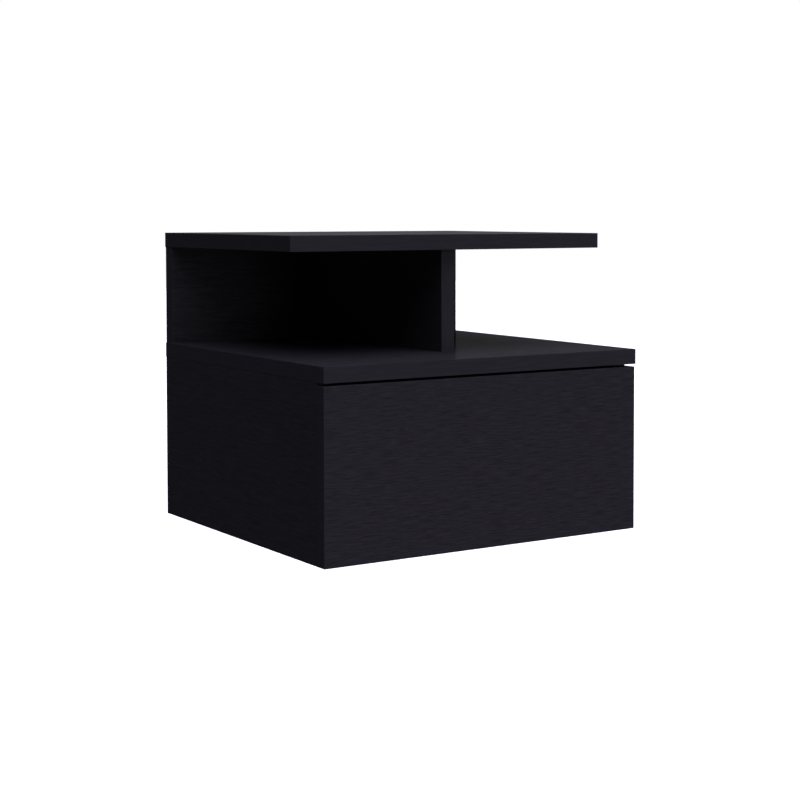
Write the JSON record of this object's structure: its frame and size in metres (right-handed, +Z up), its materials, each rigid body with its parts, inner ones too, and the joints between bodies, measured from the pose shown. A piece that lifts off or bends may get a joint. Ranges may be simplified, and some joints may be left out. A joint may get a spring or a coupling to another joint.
{
  "type": "wall-hung nightstand",
  "caption": "Wall-hung nightstand with an open two-bay shelf under a set-back top board, over one drawer with a plain full-overlay front that is gripped from below.",
  "frame": {"origin": "on the wall, at the middle of the rear face of the lower back panel, centred on the shelf board's width", "axes": "+Z up, +Y into the wall, the drawer front towards -Y, +X to the right of someone facing the drawer"},
  "size_m": [0.355, 0.34, 0.295],
  "materials": {
    "black_melamine": "black melamine with a fine brushed grain",
    "drawer_board": "black melamine, plain",
    "fibreboard": "hard fibreboard, lacquered black on its upper side",
    "coated_steel": "steel sheet with a grey powder coat",
    "zinc": "zinc-plated steel and cast zinc",
    "nylon": "white moulded nylon",
    "beech": "fluted beech dowel"
  },
  "bodies": {
    "case": {"top_board": "black_melamine", "shelf_board": "black_melamine", "divider": "black_melamine", "upper_back_panel": "black_melamine", "left_side": "black_melamine", "right_side": "black_melamine", "lower_back_panel": "black_melamine", "case_runner_left": "coated_steel", "case_runner_right": "coated_steel", "divider_dowel_front": "beech", "divider_dowel_rear": "beech", "case_left_roller_rivet": "zinc", "lower_back_left_cam": "zinc", "lower_back_left_bolt": "zinc", "upper_back_left_cam": "zinc", "upper_back_left_bolt": "zinc", "upper_back_screw_left": "zinc", "left_side_cam_front": "zinc", "left_side_bolt_front": "zinc", "case_runner_screw_left_front": "zinc", "left_side_cam_rear": "zinc", "left_side_bolt_rear": "zinc", "case_runner_screw_left_rear": "zinc", "case_right_roller_rivet": "zinc", "lower_back_right_cam": "zinc", "lower_back_right_bolt": "zinc", "upper_back_right_cam": "zinc", "upper_back_right_bolt": "zinc", "upper_back_screw_right": "zinc", "right_side_cam_front": "zinc", "right_side_bolt_front": "zinc", "case_runner_screw_right_front": "zinc", "right_side_cam_rear": "zinc", "right_side_bolt_rear": "zinc", "case_runner_screw_right_rear": "zinc", "divider_screw_front": "zinc", "divider_screw_rear": "zinc"},
    "drawer": {"drawer_front": "black_melamine", "drawer_left_side": "drawer_board", "drawer_right_side": "drawer_board", "drawer_back": "drawer_board", "drawer_bottom": "fibreboard", "drawer_runner_left": "coated_steel", "drawer_runner_right": "coated_steel", "drawer_left_roller_rivet": "zinc", "drawer_front_left_cam": "zinc", "drawer_front_left_bolt": "zinc", "drawer_back_screw_left": "zinc", "drawer_runner_screw_left_front": "zinc", "drawer_runner_screw_left_rear": "zinc", "drawer_right_roller_rivet": "zinc", "drawer_front_right_cam": "zinc", "drawer_front_right_bolt": "zinc", "drawer_back_screw_right": "zinc", "drawer_runner_screw_right_front": "zinc", "drawer_runner_screw_right_rear": "zinc"},
    "case_roller_left": {"case_left_roller": "nylon"},
    "drawer_roller_left": {"drawer_left_roller": "nylon"},
    "case_roller_right": {"case_right_roller": "nylon"},
    "drawer_roller_right": {"drawer_right_roller": "nylon"}
  },
  "joints": [
    {"name": "drawer_slide", "type": "slide", "parent": "case", "child": "drawer", "axis": [0, -1, 0], "range_m": [0, 0.225]},
    {"name": "case_roller_left_spin", "type": "hinge", "parent": "case", "child": "case_roller_left", "pos_m": [-0.1545, -0.3085, -0.0488], "axis": [1, 0, 0], "range_deg": [0, 1433]},
    {"name": "drawer_roller_left_spin", "type": "hinge", "parent": "drawer", "child": "drawer_roller_left", "pos_m": [-0.1561, -0.0405, -0.04845], "axis": [1, 0, 0], "range_deg": [0, 1258]},
    {"name": "case_roller_right_spin", "type": "hinge", "parent": "case", "child": "case_roller_right", "pos_m": [0.153, -0.3085, -0.0488], "axis": [1, 0, 0], "range_deg": [0, 1433]},
    {"name": "drawer_roller_right_spin", "type": "hinge", "parent": "drawer", "child": "drawer_roller_right", "pos_m": [0.1546, -0.0405, -0.04845], "axis": [1, 0, 0], "range_deg": [0, 1258]}
  ],
  "couplings": [
    {"joint": "case_roller_left_spin", "follows": "drawer_slide", "rad_per_m": 111.11},
    {"joint": "drawer_roller_left_spin", "follows": "drawer_slide", "rad_per_m": 97.561},
    {"joint": "case_roller_right_spin", "follows": "drawer_slide", "rad_per_m": 111.11},
    {"joint": "drawer_roller_right_spin", "follows": "drawer_slide", "rad_per_m": 97.561}
  ]
}
